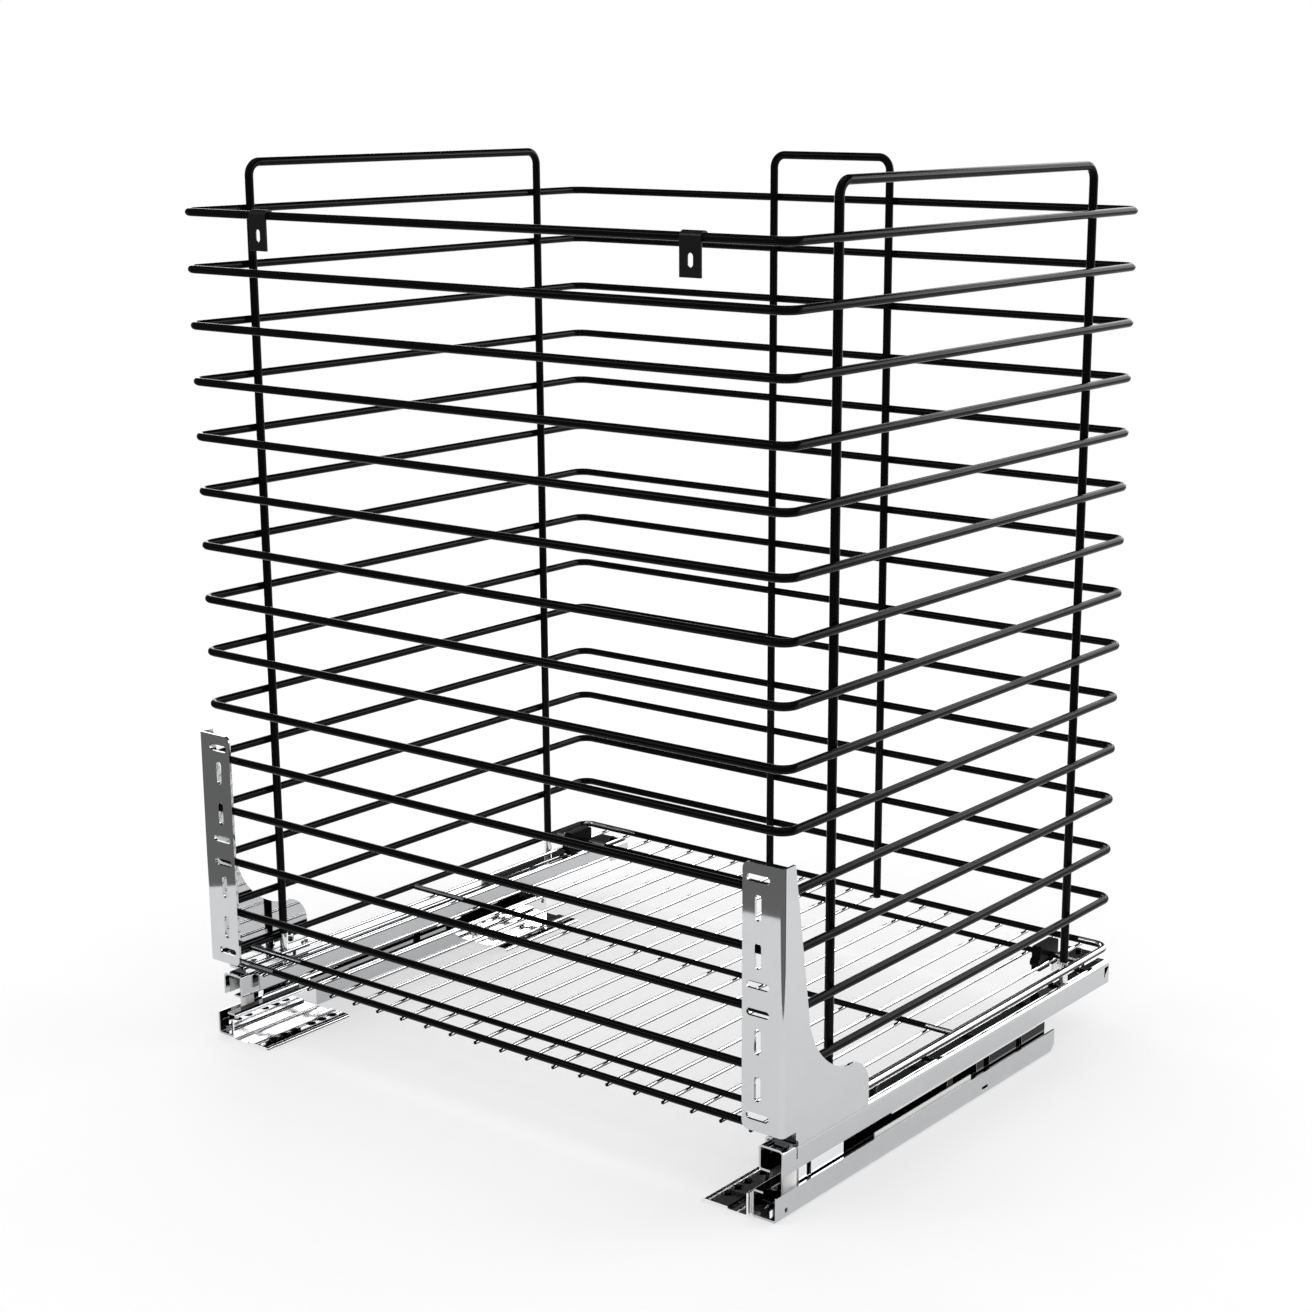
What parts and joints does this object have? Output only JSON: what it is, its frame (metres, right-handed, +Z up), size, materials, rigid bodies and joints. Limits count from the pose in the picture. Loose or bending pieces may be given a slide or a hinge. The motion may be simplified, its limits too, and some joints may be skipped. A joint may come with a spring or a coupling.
{
  "type": "pull out cabinet basket",
  "caption": "Deep black wire basket with three upright loops, carried on a pair of full extension undermount slides, with slotted front brackets and hooked front tabs.",
  "frame": {"origin": "middle of the basket in plan, on the plane of the cabinet rails' underside", "axes": "+Z up, -Y towards the front, the way the basket pulls out, +X to the right seen from the front"},
  "size_m": [0.5382, 0.451, 0.6568],
  "materials": {
    "wire": "gloss",
    "floor_wire": "polished",
    "tab": "satin",
    "bracket": "bright zinc",
    "rail": "bright zinc",
    "plate": "pale satin zinc",
    "screws": "bright zinc",
    "rollers": "polished",
    "cage": "natural",
    "clip": "satin"
  },
  "bodies": {
    "cabinet_rails": {"cabinet_rail_left": "rail", "cabinet_rail_right": "rail", "front_plate_left": "plate", "front_plate_right": "plate", "rear_plate_left": "plate", "rear_plate_right": "plate"},
    "basket": {"ring_01": "wire", "ring_02": "wire", "ring_03": "wire", "ring_04": "wire", "ring_05": "wire", "ring_06": "wire", "ring_07": "wire", "ring_08": "wire", "ring_09": "wire", "ring_10": "wire", "ring_11": "wire", "ring_12": "wire", "ring_13": "wire", "ring_14": "wire", "base_frame": "wire", "mesh_wires": "floor_wire", "cross_wire_front": "wire", "cross_wire_middle": "wire", "cross_wire_rear": "wire", "upright_loop_left": "wire", "upright_loop_right": "wire", "upright_loop_rear": "wire", "front_tab_left": "tab", "front_tab_right": "tab", "front_bracket_left": "bracket", "front_bracket_right": "bracket", "bracket_screws": "screws", "basket_rail_left": "rail", "basket_rail_right": "rail", "rear_hook_left": "bracket", "rear_hook_right": "bracket", "hook_pins": "clip", "rear_clip_left": "clip", "rear_clip_right": "clip"},
    "middle_rails": {"middle_rail_left": "rail", "middle_rail_right": "rail", "middle_stop_left": "clip", "middle_stop_right": "clip"},
    "upper_cages": {"upper_cage_left": "cage", "upper_cage_right": "cage", "upper_rollers": "rollers"},
    "lower_cages": {"lower_cage_left": "cage", "lower_cage_right": "cage", "lower_rollers": "rollers"}
  },
  "joints": [
    {"name": "basket_slide", "type": "slide", "parent": "cabinet_rails", "child": "basket", "axis": [0, -1, 0], "range_m": [0, 0.43]},
    {"name": "middle_slide", "type": "slide", "parent": "cabinet_rails", "child": "middle_rails", "axis": [0, -1, 0], "range_m": [0, 0.215]},
    {"name": "upper_cage_slide", "type": "slide", "parent": "cabinet_rails", "child": "upper_cages", "axis": [0, -1, 0], "range_m": [0, 0.3225]},
    {"name": "lower_cage_slide", "type": "slide", "parent": "cabinet_rails", "child": "lower_cages", "axis": [0, -1, 0], "range_m": [0, 0.1075]}
  ],
  "couplings": [
    {"joint": "middle_slide", "follows": "basket_slide", "ratio": 0.5},
    {"joint": "upper_cage_slide", "follows": "basket_slide", "ratio": 0.75},
    {"joint": "lower_cage_slide", "follows": "basket_slide", "ratio": 0.25}
  ]
}
